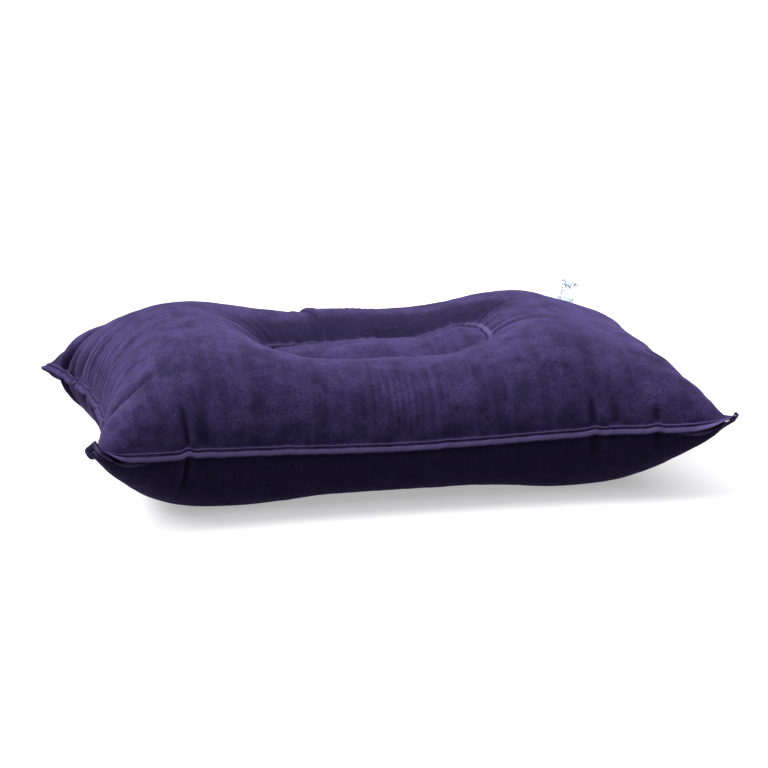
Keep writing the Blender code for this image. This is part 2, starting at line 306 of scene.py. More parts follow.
def resampled(points, rows, axis):
    """Points between the rows of a grid, straight from row to row."""
    low = np.clip(np.floor(rows).astype(int), 0, points.shape[axis] - 2)
    share = (rows - low).reshape([-1 if k == axis else 1 for k in range(points.ndim)])
    return points.take(low, axis) * (1 - share) + points.take(low + 1, axis) * share


def surface_normals(sheet):
    normal = np.cross(np.gradient(sheet, axis=0), np.gradient(sheet, axis=1))
    return normal / (np.linalg.norm(normal, axis=2, keepdims=True) + 1e-12)


def crease(x, y, start, end, width, depth, bow=0.0, shoulder=0.45):
    """A pinched valley between raised shoulders, deepest near its start and gone at its end."""
    run = (end[0] - start[0], end[1] - start[1])
    length = math.hypot(*run)
    run = (run[0] / length, run[1] / length)
    along = ((x - start[0]) * run[0] + (y - start[1]) * run[1]) / length
    off = (y - start[1]) * run[0] - (x - start[0]) * run[1] - bow * along * (1 - along) * length
    fade = smoothstep(-0.06, 0.04, along) * (1 - smoothstep(0.15, 1.0, along))
    wide = width * (1 + 0.8 * np.clip(along, 0, 1))
    shoulders = shoulder * np.exp(-(((np.abs(off) - 2.3 * wide) / (1.3 * wide)) ** 2))
    return -depth * fade * (np.exp(-((off / wide) ** 2)) - shoulders)


def short_side_pleats(x, y, random, reach):
    """Pleats that run in from the gathered short sides, and the deep fold behind each corner."""
    lift = np.zeros_like(x)
    for end in (-1, 1):
        edge = end * (HALF_LENGTH - BORDER)
        place = -0.112
        while place < 0.112:
            length = reach * random.uniform(0.5, 1.3)
            depth = random.uniform(0.7, 1.9) * 0.001
            lean = -place * 0.26 * length / reach + random.uniform(-0.004, 0.004)
            width = random.uniform(1.3, 2.3) * 0.001
            stop = (edge - end * length, place + lean)
            lift += crease(x, y, (edge, place), stop, width, depth, random.uniform(-0.10, 0.10))
            place += random.uniform(0.0075, 0.0150)
        behind = DEEP_CORNER if end < 0 else VALVE_CORNER
        for side, (width, depth) in ((-1, FRONT_CORNER), (1, behind)):
            place = side * CORNER_FOLD
            stop = (edge - end * reach * 1.15, place - side * 0.022)
            lift += crease(x, y, (edge, place), stop, width, depth, -0.10 * side * end)
    return lift


def long_side_puckers(x, y, random, reach):
    """A few short, shallow puckers along the front and back welds."""
    lift = np.zeros_like(x)
    for side in (-1, 1):
        edge = side * (HALF_WIDTH - BORDER)
        place = -0.20
        while place < 0.20:
            length = reach * random.uniform(0.4, 1.3)
            stop = (place + random.uniform(-0.004, 0.004), edge - side * length)
            width = random.uniform(2.0, 3.6) * 0.001
            lift += crease(x, y, (place, edge), stop, width, random.uniform(0.10, 0.45) * 0.001)
            place += random.uniform(0.014, 0.034)
    return lift


def front_folds(x, y, upper):
    lift = np.zeros_like(x)
    edge = -(HALF_WIDTH - BORDER)
    for place, up, down, width, depth in FRONT_FOLDS:
        reach = up if upper else down
        lift += crease(x, y, (place, edge), (place - 0.002, edge + reach), width, depth, 0.0, 0.12)
    return lift


def oval_fans(x, y, random):
    """Creases that run out from the band's weld, long at its two ends and short along its sides."""
    lift = np.zeros_like(x)
    a, b, power = OVAL
    for turn in np.arange(0, 2 * math.pi, 0.105):
        turn += random.uniform(-0.04, 0.04)
        c, s = math.cos(turn), math.sin(turn)
        across = b * math.copysign(abs(s) ** (2 / power), s) + OVAL_SHIFT
        start = (a * math.copysign(abs(c) ** (2 / power), c), across)
        at_end = (abs(start[0]) / a) ** 8
        out = (math.copysign(0.15 + 0.85 * at_end, c) * abs(c), math.copysign(1 - 0.55 * at_end, s) * abs(s))
        size = math.hypot(*out)
        out = (out[0] / size, out[1] / size)
        length = (0.014 + 0.036 * at_end) * random.uniform(0.6, 1.3)
        depth = (0.35 + 0.50 * at_end) * random.uniform(0.4, 1.1) * 0.001
        stop = (start[0] + out[0] * length, start[1] + out[1] * length)
        width = random.uniform(1.3, 2.3) * 0.001
        lift += crease(x, y, start, stop, width, depth, random.uniform(-0.12, 0.12))
        if random.uniform() < 0.5:
            inner = (start[0] - out[0] * length * 0.4, start[1] - out[1] * length * 0.4)
            lift += crease(x, y, start, inner, width, depth * 0.4)
    return lift


def oval_weld(x, y):
    """The pressed weld: a groove between two thin beads."""
    off = oval_distance(x, y)
    beads = np.exp(-(((np.abs(off) - 0.0028) / 0.0011) ** 2))
    return 0.0009 * beads - 0.0007 * np.exp(-((off / 0.0016) ** 4))


def painted_shade_and_highlight(x, y):
    """Painted shade on the wall behind the oval and on the folded back left corner, and a weaker painted
    highlight, given as a negative amount, on the front ridge.
    """
    off = oval_distance(x, y)
    wall = np.exp(-(((off - 0.017) / 0.015) ** 4)) * smoothstep(0.0, 0.03, y)
    corner = smoothstep(-0.205, -0.222, x) * smoothstep(0.085, 0.105, y)
    ridge = np.exp(-(((off - 0.030) / 0.010) ** 2)) * smoothstep(0.0, -0.03, y)
    return wall + corner - 0.25 * ridge


def soft_noise(x, y, random, wave, count=24):
    """Smooth waves in many directions, about -1 to 1."""
    total = np.zeros_like(x)
    for _ in range(count):
        heading = random.uniform(0, 2 * math.pi)
        pitch = wave * random.uniform(0.7, 1.4)
        phase = random.uniform(0, 2 * math.pi)
        total += np.sin((x * math.cos(heading) + y * math.sin(heading)) * 2 * math.pi / pitch + phase)
    return total / math.sqrt(count)


def border_relief(out):
    """The border's section by distance out from the weld line: a ridge, a groove and a soft outer band."""
    ridge = 0.0012 * np.exp(-(((out - 0.0008) / 0.0006) ** 2))
    band = 0.0009 * smoothstep(0.0024, 0.0032, out) * (1 - 0.7 * smoothstep(0.0058, 0.0070, out))
    return np.where(out > -0.0001, ridge + band, ridge * np.exp(-((out / 0.0006) ** 2)))


def sway_seams(sheet, x, y, inside):
    """Kinks in the welded line: bumps where front folds cross it, scallops on the gathered short sides."""
    random = np.random.default_rng(SEED + 5)
    near = np.exp(-((inside.clip(0, None) / 0.010) ** 2))
    front = near * smoothstep(-0.02, -0.08, y)
    for place, _, _, width, depth in FRONT_FOLDS:
        sheet[..., 2] += front * 0.55 * depth * np.exp(-(((x - place) / (2.4 * width)) ** 2))
    wave = np.zeros_like(y)
    for pitch, size in ((0.0125, 0.0003), (0.0190, 0.0004), (0.0330, 0.0005)):
        wave += size * np.sin(y * 2 * np.pi / pitch + random.uniform(0, 6.28))
    side = near * smoothstep(0.19, 0.215, np.abs(x)) * (1 - smoothstep(0.10, 0.13, np.abs(y)))
    sheet[..., 2] += side * wave
    sheet[..., 0] += side * np.sign(x) * np.roll(wave, 5, 1) * 0.8


def lay_border(sheet):
    """Lays the welded border: hanging along the sides, and left as it is at the tips."""
    edge = len(BORDER_ROWS) - 1
    random = np.random.default_rng(SEED + 1)
    for axis, low_side in ((0, True), (0, False), (1, True), (1, False)):
        rows = sheet if axis == 0 else sheet.swapaxes(0, 1)
        rows = rows if low_side else rows[::-1]
        line = rows[edge, edge:-edge].copy()
        smooth = line.copy()
        for _ in range(12):
            smooth[1:-1] = (smooth[:-2] + 2 * smooth[1:-1] + smooth[2:]) / 4
        run = np.gradient(smooth, axis=0)
        outward = np.stack([run[:, 1], -run[:, 0], np.zeros(len(run))], 1)
        outward *= np.sign((outward * (rows[edge, edge:-edge] - rows[edge + 12, edge:-edge])).sum(1))[:, None]
        outward /= np.linalg.norm(outward, axis=1, keepdims=True)
        place = np.concatenate([[0], np.cumsum(np.linalg.norm(np.diff(line, axis=0), axis=1))])
        from_tip = np.minimum(place, place[-1] - place)
        droop = np.full(len(line), BORDER_DROOP if axis else BORDER_DROOP * 0.75)
        for pitch, size in ((0.011, 0.10), (0.017, 0.12), (0.041, 0.10)):
            wave = np.sin(place * 2 * np.pi / pitch + random.uniform(0, 6.28))
            droop += (0.35 if axis else 0.5) * size * wave
        heading = outward * np.cos(droop)[:, None] - np.array([0, 0, 1.0]) * np.sin(droop)[:, None]
        share = smoothstep(0.004, 0.030, from_tip)[:, None]
        for k, out in enumerate(BORDER_ROWS):
            laid = line + heading * out
            rows[edge - k, edge:-edge] += share * (laid - rows[edge - k, edge:-edge])


def pressed_sheets(points, grid):
    """Both sheets on the fine grid with every weld and crease, a mask of flock wear, painted shade and
    painted highlights, and the flat places.
    """
    points = halved(points)
    border = grid.border * 2
    axes = []
    for axis, size in ((1, LENGTH), (2, WIDTH)):
        count = points.shape[axis] - 1
        cell = size / count
        rows = np.concatenate([border - BORDER_ROWS[::-1] / cell, np.arange(border + 1, count - border),
                               count - border + BORDER_ROWS / cell])
        points = resampled(points, rows, axis)
        axes.append(rows * cell - size / 2)
    x, y = np.meshgrid(*axes, indexing="ij")
    inside = np.minimum(HALF_LENGTH - np.abs(x), HALF_WIDTH - np.abs(y)) - BORDER
    body = smoothstep(0.0, 0.004, inside)
    border_lift = border_relief(-inside)
    sheets = []
    for upper, sheet in ((True, points[0]), (False, points[1])):
        outward = 1 if upper else -1
        random = np.random.default_rng(SEED + 2)
        lift = short_side_pleats(x, y, random, 0.062 if upper else 0.040)
        lift += long_side_puckers(x, y, random, 0.020)
        lift += front_folds(x, y, upper)
        random = np.random.default_rng(SEED + (3 if upper else 4))
        if upper:
            lift += oval_fans(x, y, random)
            lift += crease(x, y, (-0.043, 0.088), (-0.031, 0.040), 0.0020, 0.0024)
        lift += oval_weld(x, y)
        # Painted shade: crease valleys darker, down to -1 at 1 mm deep; crests a little paler, partly flock
        # wear and partly painted highlight.
        wear_and_painted_light = np.where(lift < 0, lift / 0.0010, np.minimum(lift / 0.0021, 0.35))
        # Painted shade on the wall behind the oval and the back left corner, and a painted highlight on the
        # front ridge.
        wear_and_painted_light -= 0.90 * painted_shade_and_highlight(x, y)
        # Painted highlight: a pale line along the outer bead of the oval weld.
        wear_and_painted_light += 0.95 * np.exp(-(((oval_distance(x, y) - 0.0026) / 0.0012) ** 2))
        lift += 0.00030 * soft_noise(x, y, random, 0.034) + 0.00010 * soft_noise(x, y, random, 0.012)
        grounded = smoothstep(0.0005, 0.006, sheet[..., 2])
        sheet = sheet + surface_normals(sheet) * outward * (lift * body * grounded)[..., None]
        sway_seams(sheet, x, y, inside)
        lay_border(sheet)
        outside = WALL + border_lift * (1 if upper else 0.5)
        sheet = sheet + surface_normals(sheet) * outward * outside[..., None]
        np.maximum(sheet[..., 2], 0, out=sheet[..., 2])
        band = smoothstep(-0.0002, 0.0004, -inside)
        gathered = HALF_LENGTH - np.abs(x) < HALF_WIDTH - np.abs(y)
        # Painted highlight on the border's ridge and outer band, and painted shade in its groove. The
        # gathered short sides are painted darker all over.
        wear_and_painted_light = np.clip(wear_and_painted_light * body + band * (border_lift / 0.0006 - np.where(gathered, 1.2, 0.5)), -1, 1)
        sheets.append((sheet, wear_and_painted_light))
    return sheets, x, y


# --- meshes ---------------------------------------------------------------------------------------------

# The valve's own frame: heights are along its axis, from the outside of the top sheet
HINGE_X, HINGE_Z = 0.0082, 0.0142
SHEET_HOLE = 0.0086
SHOULDER = 0.075        # radius of the sheet's curve round the valve


def deselect():
    bpy.ops.object.select_all(action="DESELECT")


def select_only(obj):
    deselect()
    obj.select_set(True)
    bpy.context.view_layer.objects.active = obj


def named(name):
    """Names the object just made, and its mesh."""
    obj = bpy.context.object
    obj.name = name
    obj.data.name = name
    return obj


def begin_edit(obj):
    select_only(obj)
    bpy.ops.object.mode_set(mode="EDIT")


def end_edit():
    bpy.ops.object.mode_set(mode="OBJECT")


def apply_modifier(obj, modifier):
    select_only(obj)
    bpy.ops.object.modifier_apply(modifier=modifier.name)


def valve_frame():
    """The valve's place: its origin on the top sheet, +Z out along the stem, +X towards the strap."""
    up = Vector(JOINTS["valve_press"]["axis"]).normalized()
    back = Vector(JOINTS["plug_swing"]["axis"]).normalized()
    right = back.cross(up).normalized()
    centre = Vector(JOINTS["plug_swing"]["pos_m"]) - right * HINGE_X - up * HINGE_Z
    return Matrix.Translation(centre) @ Matrix((right, back, up)).transposed().to_4x4()


def seat_valve(sheet, valve):
    """Draws the top sheet to the valve's flange, smoothly over a few centimetres."""
    turn = np.array(valve.to_3x3())
    centre = np.array(valve.translation)
    local = (sheet - centre) @ turn
    radius = np.hypot(local[..., 0], local[..., 1])
    near = (1 - smoothstep(0.012, 0.055, radius)) * (np.abs(local[..., 2]) < 0.04)
    wanted = -(radius**2) / (2 * SHOULDER) - 0.0002 - 0.0005 * np.exp(-(((radius - 0.0125) / 0.0012) ** 2))
    local[..., 2] += near * (wanted - local[..., 2])
    return local @ turn.T + centre


def sheet_object(name, sheet, wear_and_painted_light, x, y, upward):
    """A grid bent to the sheet's shape, carrying its flat places as a UV map and its mask of wear, painted
    shade and painted highlights as an attribute.
    """
    deselect()
    bpy.ops.mesh.primitive_grid_add(x_subdivisions=x.shape[0] - 1, y_subdivisions=x.shape[1] - 1, size=1)
    obj = named(name)
    mesh = obj.data
    mesh.vertices.foreach_set("co", sheet.swapaxes(0, 1).reshape(-1).astype(np.float32))
    corners = np.empty(len(mesh.loops), np.int32)
    mesh.loops.foreach_get("vertex_index", corners)
    flat = np.stack([x.T.ravel(), y.T.ravel()], 1)[corners]
    mesh.uv_layers[0].name = "blank"
    mesh.uv_layers[0].data.foreach_set("uv", flat.astype(np.float32).ravel())
    wear_and_light_mask = mesh.attributes.new("wear_and_light_mask", "FLOAT", "POINT")
    wear_and_light_mask.data.foreach_set("value", wear_and_painted_light.T.ravel().astype(np.float32))
    if not upward:
        mesh.flip_normals()
    mesh.update()
    return obj


def cut_valve_hole(obj, valve):
    """Opens the round hole that the stem comes through and rounds its rim."""
    turn, centre = np.array(valve.to_3x3()), np.array(valve.translation)
    mesh = obj.data
    places = np.empty(len(mesh.vertices) * 3, np.float32)
    mesh.vertices.foreach_get("co", places)
    local = (places.reshape(-1, 3) - centre) @ turn
    reach = np.hypot(local[:, 0], local[:, 1])
    inner = (reach < SHEET_HOLE) & (np.abs(local[:, 2]) < 0.02)
    ring = set()
    for face in mesh.polygons:
        if any(inner[v] for v in face.vertices):
            ring.update(v for v in face.vertices if not inner[v])
    for v in ring:
        local[v, :2] *= SHEET_HOLE / reach[v]
        mesh.vertices[v].co = turn @ local[v] + centre
    begin_edit(obj)
    bpy.ops.mesh.select_mode(type="VERT")
    bpy.ops.mesh.select_all(action="DESELECT")
    end_edit()
    mesh.vertices.foreach_set("select", inner)
    begin_edit(obj)
    bpy.ops.mesh.delete(type="VERT")
    end_edit()


def thicken(obj, offset):
    """Gives the vinyl its wall: offset -1 puts all of it inside the surface and 0 half on each side."""
    solidify = obj.modifiers.new("Vinyl", "SOLIDIFY")
    solidify.thickness = VINYL
    solidify.offset = offset
    apply_modifier(obj, solidify)


def turned(name, profile, steps=64, closed=True):
    """A section of (radius, height) points turned about Z: a circle extruded and resized point by point."""
    deselect()
    radius, height = profile[0]
    bpy.ops.mesh.primitive_circle_add(vertices=steps, radius=radius, location=(0, 0, height))
    obj = named(name)
    bpy.ops.object.transform_apply(location=True)
    begin_edit(obj)
    bpy.ops.mesh.select_all(action="SELECT")
    for next_radius, next_height in profile[1:] + (profile[:1] if closed else []):
        bpy.ops.mesh.extrude_region_move(TRANSFORM_OT_translate={"value": (0, 0, next_height - height)})
        scale = next_radius / radius
        bpy.ops.transform.resize(value=(scale, scale, 1), center_override=(0, 0, next_height))
        radius, height = next_radius, next_height
    bpy.ops.mesh.select_all(action="SELECT")
    bpy.ops.mesh.remove_doubles(threshold=1e-6)
    if not closed:
        bpy.ops.mesh.select_all(action="DESELECT")
        bpy.ops.mesh.select_mode(type="EDGE")
        bpy.ops.mesh.select_non_manifold()
        bpy.ops.mesh.fill_holes(sides=0)
        bpy.ops.mesh.select_all(action="SELECT")
    bpy.ops.mesh.normals_make_consistent(inside=False)
    end_edit()
    return obj


def slab(low, high):
    """A box between two corners, to be bevelled and joined on."""
    deselect()
    middle = [(a + b) / 2 for a, b in zip(low, high)]
    bpy.ops.mesh.primitive_cube_add(size=1, location=middle, scale=[b - a for a, b in zip(low, high)])
    bpy.ops.object.transform_apply(location=True, rotation=True, scale=True)
    return bpy.context.object


def join_on(obj, other):
    union = obj.modifiers.new("Join", "BOOLEAN")
    union.operation = "UNION"
    union.object = other
    apply_modifier(obj, union)
    bpy.data.objects.remove(other)


def soften(obj, width, segments=3):
    """Rounds the moulded edges."""
    bevel = obj.modifiers.new("Edges", "BEVEL")
    bevel.width = width
    bevel.segments = segments
    bevel.limit_method = "ANGLE"
    bevel.angle_limit = math.radians(35)
    apply_modifier(obj, bevel)
    bpy.ops.object.shade_smooth_by_angle(angle=math.radians(40))


def place_on_valve(obj, valve):
    obj.matrix_world = valve
    select_only(obj)
    bpy.ops.object.transform_apply(location=True, rotation=True, scale=True)


# --- materials ------------------------------------------------------------------------------------------

class Wiring:
    """Short ways to place and join nodes in one tree."""

    def __init__(self, tree):
        self.nodes, self.links = tree.nodes, tree.links

    def feed(self, socket, value):
        if isinstance(value, bpy.types.NodeSocket):
            self.links.new(value, socket)
        else:
            socket.default_value = value

    def add(self, kind, inputs=(), **settings):
        node = self.nodes.new(kind)
        for name, value in settings.items():
            setattr(node, name, value)
        for name, value in dict(inputs).items():
            self.feed(node.inputs[name], value)
        return node

    def stretched(self, source, scale):
        return self.add("ShaderNodeMapping", {"Vector": source, "Scale": scale}).outputs["Vector"]

    def noise(self, source, scale, detail=3, roughness=0.5):
        inputs = {"Vector": source, "Scale": scale, "Detail": detail, "Roughness": roughness}
        return self.add("ShaderNodeTexNoise", inputs).outputs["Fac"]

    def ramp(self, value, low, high, to_low=0.0, to_high=1.0):
        inputs = {"Value": value, "From Min": low, "From Max": high, "To Min": to_low, "To Max": to_high}
        return self.add("ShaderNodeMapRange", inputs, interpolation_type="SMOOTHSTEP").outputs["Result"]

    def maths(self, operation, one, other=0.0):
        node = self.add("ShaderNodeMath", operation=operation)
        self.feed(node.inputs[0], one)
        self.feed(node.inputs[1], other)
        return node.outputs[0]

    def blend(self, factor, one, other):
        node = self.add("ShaderNodeMix", data_type="RGBA")
        self.feed(node.inputs[0], factor)
        self.feed(node.inputs[6], one)
        self.feed(node.inputs[7], other)
        return node.outputs[2]


def add_sockets(tree, in_out, kind, *names):
    for name in names:
        tree.interface.new_socket(name=name, in_out=in_out, socket_type=kind)


def flock_group():
    """Short velvet flock: crushed and brushed nap, faint rows, grain, lint and scuffs, with painted shade in
    creases and hollows and pale edges that are partly wear and partly painted highlight.
    """
    tree = bpy.data.node_groups.new("flock_nap", "ShaderNodeTree")
    add_sockets(tree, "INPUT", "NodeSocketColor", "Deep", "High", "Worn_and_highlight")
    add_sockets(tree, "INPUT", "NodeSocketFloat", "Lint")
    add_sockets(tree, "OUTPUT", "NodeSocketColor", "Color")
    add_sockets(tree, "OUTPUT", "NodeSocketFloat", "Height", "Roughness")
    w = Wiring(tree)
    given = w.nodes.new("NodeGroupInput").outputs
    out = w.nodes.new("NodeGroupOutput").inputs
    solid = w.add("ShaderNodeTexCoord").outputs["Object"]
    flat = w.add("ShaderNodeUVMap", uv_map="blank").outputs["UV"]
    wear_and_light_mask = w.add("ShaderNodeAttribute", attribute_name="wear_and_light_mask").outputs["Fac"]
    mottle = w.noise(solid, 60, 7, 0.68)
    brushed = w.noise(w.stretched(flat, (150, 7, 1)), 1, 3)
    swept = w.noise(w.stretched(flat, (22, 9, 1)), 1, 3)
    grain = w.noise(solid, 760, 4, 0.75)
    shade = w.blend(w.ramp(mottle, 0.34, 0.68), given["Deep"], given["High"])
    shade = w.blend(w.ramp(brushed, 0.42, 0.70, 0.0, 0.50), shade, given["High"])
    shade = w.blend(w.ramp(swept, 0.50, 0.75, 0.0, 0.55), shade, given["Deep"])
    dark = w.blend(0.45, given["Deep"], (0.002, 0.001, 0.006, 1))
    shade = w.blend(w.ramp(grain, 0.45, 0.62, 0.0, 0.70), shade, dark)
    # Painted shade where the mask is below zero: creases, the wall behind the oval, the back left corner and
    # the border's groove.
    shade = w.blend(w.ramp(wear_and_light_mask, -0.1, -0.9, 0.0, 0.75), shade, dark)
    # Paler where the mask is above zero: flock wear on crests, and painted highlights on the weld bead, the
    # front ridge and the border.
    shade = w.blend(w.ramp(wear_and_light_mask, 0.05, 0.9, 0.0, 0.75), shade, given["Worn_and_highlight"])
    scuffs = w.add("ShaderNodeTexVoronoi", {"Vector": w.stretched(flat, (30, 44, 1)), "Scale": 1.0},
                   voronoi_dimensions="2D", feature="DISTANCE_TO_EDGE").outputs["Distance"]
    patch = w.ramp(w.noise(w.stretched(flat, (7, 9, 1)), 1, 2), 0.55, 0.72)
    line = w.maths("MULTIPLY", w.ramp(scuffs, 0.022, 0.004), patch)
    shade = w.blend(w.maths("MULTIPLY", line, 0.30), shade, given["Worn_and_highlight"])
    cells = w.add("ShaderNodeTexVoronoi", {"Vector": flat, "Scale": 380.0}, voronoi_dimensions="2D")
    chance = w.add("ShaderNodeSeparateColor", {"Color": cells.outputs["Color"]}).outputs["Red"]
    speck = w.maths("MULTIPLY", w.ramp(cells.outputs["Distance"], 0.11, 0.05), w.ramp(chance, 0.930, 0.995))
    shade = w.blend(w.maths("MULTIPLY", speck, given["Lint"]), shade, (0.24, 0.21, 0.34, 1))
    w.feed(out["Color"], shade)
    height = w.maths("ADD", w.maths("MULTIPLY", grain, 0.6), w.maths("MULTIPLY", brushed, 0.5))
    w.feed(out["Height"], w.maths("ADD", height, speck))
    w.feed(out["Roughness"], w.ramp(mottle, 0.3, 0.7, 0.82, 0.96))
    return tree


def flocked(name, group, deep, high, wear_and_painted_light, lint, sheen):
    material = bpy.data.materials.new(name)
    material.use_nodes = True
    w = Wiring(material.node_tree)
    shader = w.nodes["Principled BSDF"]
    shader.inputs["Specular IOR Level"].default_value = 0.12
    shader.inputs["Sheen Weight"].default_value = sheen
    shader.inputs["Sheen Roughness"].default_value = 0.36
    shader.inputs["Sheen Tint"].default_value = (0.42, 0.31, 0.86, 1)
    inputs = {"Deep": (*deep, 1), "High": (*high, 1), "Worn_and_highlight": (*wear_and_painted_light, 1), "Lint": lint}
    nap = w.add("ShaderNodeGroup", node_tree=group)
    for key, value in inputs.items():
        nap.inputs[key].default_value = value
    w.feed(shader.inputs["Base Color"], nap.outputs["Color"])
    w.feed(shader.inputs["Roughness"], nap.outputs["Roughness"])
    bump = w.add("ShaderNodeBump", {"Height": nap.outputs["Height"], "Strength": 0.5, "Distance": 0.0008})
    w.feed(shader.inputs["Normal"], bump.outputs["Normal"])
    return material


def haze_group():
    """Moulding flow and handling marks of soft clear vinyl."""
    tree = bpy.data.node_groups.new("vinyl_haze", "ShaderNodeTree")
    add_sockets(tree, "INPUT", "NodeSocketColor", "Tint", "Haze")
    add_sockets(tree, "INPUT", "NodeSocketFloat", "Gloss")
    add_sockets(tree, "OUTPUT", "NodeSocketColor", "Color")
    add_sockets(tree, "OUTPUT", "NodeSocketFloat", "Roughness", "Height")
    w = Wiring(tree)
    given = w.nodes.new("NodeGroupInput").outputs
    out = w.nodes.new("NodeGroupOutput").inputs
    solid = w.add("ShaderNodeTexCoord").outputs["Object"]
    flow = w.noise(solid, 160, 4)
    marks = w.noise(w.stretched(solid, (900, 900, 260)), 1, 3, 0.7)
    w.feed(out["Color"], w.blend(w.ramp(flow, 0.40, 0.70, 0.0, 0.8), given["Tint"], given["Haze"]))
    w.feed(out["Roughness"], w.maths("ADD", given["Gloss"], w.ramp(marks, 0.45, 0.75, 0.0, 0.22)))
    w.feed(out["Height"], marks)
    return tree


def clear_vinyl(name, group, tint, haze, gloss, clearness):
    material = bpy.data.materials.new(name)
    material.use_nodes = True
    w = Wiring(material.node_tree)
    shader = w.nodes["Principled BSDF"]
    shader.inputs["IOR"].default_value = 1.3
    shader.inputs["Transmission Weight"].default_value = clearness
    marks = w.add("ShaderNodeGroup", node_tree=group)
    marks.inputs["Tint"].default_value = (*tint, 1)
    marks.inputs["Haze"].default_value = (*haze, 1)
    marks.inputs["Gloss"].default_value = gloss
    w.feed(shader.inputs["Base Color"], marks.outputs["Color"])
    w.feed(shader.inputs["Roughness"], marks.outputs["Roughness"])
    bump = w.add("ShaderNodeBump", {"Height": marks.outputs["Height"], "Strength": 0.15, "Distance": 0.0002})
    w.feed(shader.inputs["Normal"], bump.outputs["Normal"])
    return material


# --- building -------------------------------------------------------------------------------------------

def stand_for(obj, body, node, material):
    obj.data.materials.clear()
    obj.data.materials.append(material)
    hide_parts(node)
    if body:
        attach(obj, body)


def build_sheets(points, grid, valve):
    ((top, top_wear_and_light), (bottom, bottom_wear_and_light)), x, y = pressed_sheets(points, grid)
    top_cover = sheet_object("top_cover", seat_valve(top, valve), top_wear_and_light, x, y, True)
    bottom_cover = sheet_object("bottom_cover", bottom, bottom_wear_and_light, x, y, False)
    cut_valve_hole(top_cover, valve)
    nap = flock_group()
    # Pale colour for scuffs and flock wear, also used for painted highlights.
    wear_and_painted_light = (0.150, 0.122, 0.290)
    top_flock = flocked("top_flock", nap, (0.026, 0.019, 0.072), (0.076, 0.058, 0.182), wear_and_painted_light, 1.0, 0.46)
    # The bottom sheet gets a darker copy of the top flock with less sheen: painted shade for the underside.
    shaded_under_flock = flocked("shaded_under_flock", nap, (0.016, 0.012, 0.044), (0.042, 0.031, 0.100), wear_and_painted_light, 0.6, 0.36)
    covers = ((top_cover, "top_sheet", top_flock), (bottom_cover, "bottom_sheet", shaded_under_flock))
    for obj, node, material in covers:
        thicken(obj, -1)
        obj.data.shade_smooth()
        stand_for(obj, "pillow", node, material)


def build_band(points, grid, material):
    """The oval tie band, from weld to weld, with its four air holes."""
    top, bottom = grid.on_oval(points[0]), grid.on_oval(points[1])
    count = len(top)
    rows = 12
    deselect()
    bpy.ops.mesh.primitive_cylinder_add(vertices=count, radius=1, depth=1, end_fill_type="NOTHING")
    obj = named("tie_band")
    begin_edit(obj)
    bpy.ops.mesh.select_all(action="SELECT")
    bpy.ops.mesh.bisect(plane_co=(0, 0, 0), plane_no=(0, 0, 1))
    for row in range(1, rows):
        bpy.ops.mesh.select_all(action="SELECT")
        bpy.ops.mesh.bisect(plane_co=(0, 0, row / rows - 0.5), plane_no=(0, 0, 1))
    bpy.ops.mesh.select_all(action="DESELECT")
    end_edit()
    trim = 0.0012
    for vertex in obj.data.vertices:
        turn = math.atan2(vertex.co.y, vertex.co.x) % (2 * math.pi)
        k = round(turn / (2 * math.pi) * count) % count
        low, high = Vector(bottom[k]), Vector(top[k])
        low.z += trim
        high.z -= trim
        share = vertex.co.z + 0.5
        middle = low.lerp(high, share)
        bow = 1 + 0.035 * math.sin(math.pi * share)
        vertex.co = (middle.x * bow, middle.y * bow, middle.z)
    thicken(obj, 0)
    middle = (float(top[:, 2].mean()) + float(bottom[:, 2].mean())) / 2
    for turn in ("X", "Y"):
        deselect()
        bpy.ops.mesh.primitive_cylinder_add(vertices=48, radius=0.010, depth=0.3, location=(0, 0, middle))
        tool = bpy.context.object
        tool.rotation_euler = (math.pi / 2, 0, 0) if turn == "X" else (0, math.pi / 2, 0)
        bpy.context.view_layer.update()
        hole = obj.modifiers.new("Air hole", "BOOLEAN")
        hole.operation = "DIFFERENCE"
        hole.object = tool
        apply_modifier(obj, hole)
        bpy.data.objects.remove(tool)
    obj.data.shade_smooth()
    stand_for(obj, "pillow", "ring_web", material)


def build_flange(valve, vinyl):
    """Dished flange, welded to the inside of the top sheet, with a hub that the skirt grows from."""
    def under_sheet(radius):
        return -(radius**2) / (2 * SHOULDER) - 0.0011

    section = [(0.0080, -0.0044), (0.0092, -0.0044), (0.0098, -0.0036)]
    section += [(0.0106, under_sheet(0.0106) - 0.0010)]
    section += [(r, under_sheet(r) - 0.0008) for r in (0.0120, 0.0134)]
    section += [(0.0140, under_sheet(0.0140) - 0.0004), (0.0138, under_sheet(0.0138))]
    section += [(r, under_sheet(r)) for r in (0.0126, 0.0112, 0.0098)]
    section += [(0.0092, -0.0026), (0.0086, -0.0033), (0.0080, -0.0036)]
    obj = turned("valve_flange", section, 72)
    soften(obj, 0.00015, 2)
    place_on_valve(obj, valve)
    stand_for(obj, "pillow", "valve_base", vinyl)


def build_skirt(valve, vinyl):
    """Soft skirt between the flange and the stem's collar, as one fixed shape; the real skirt turns inside
    out as the stem is pushed in.
    """
    low, high, steps = -0.0044, 0.0021, 18
    outer, inner = [], []
    for k in range(steps + 1):
        t = k / steps
        radius = 0.0074 - 0.00142 * t + 0.00026 * math.sin(4 * math.pi * t) * math.sin(math.pi * t)
        height = low + (high - low) * t
        outer.append((radius + 0.00024, height))
        inner.append((radius - 0.00024, height))
    obj = turned("rolled_skirt", outer + inner[::-1], 64)
    soften(obj, 0.00008, 2)
    place_on_valve(obj, valve)
    stand_for(obj, None, "valve_skirt", vinyl)
    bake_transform(obj)


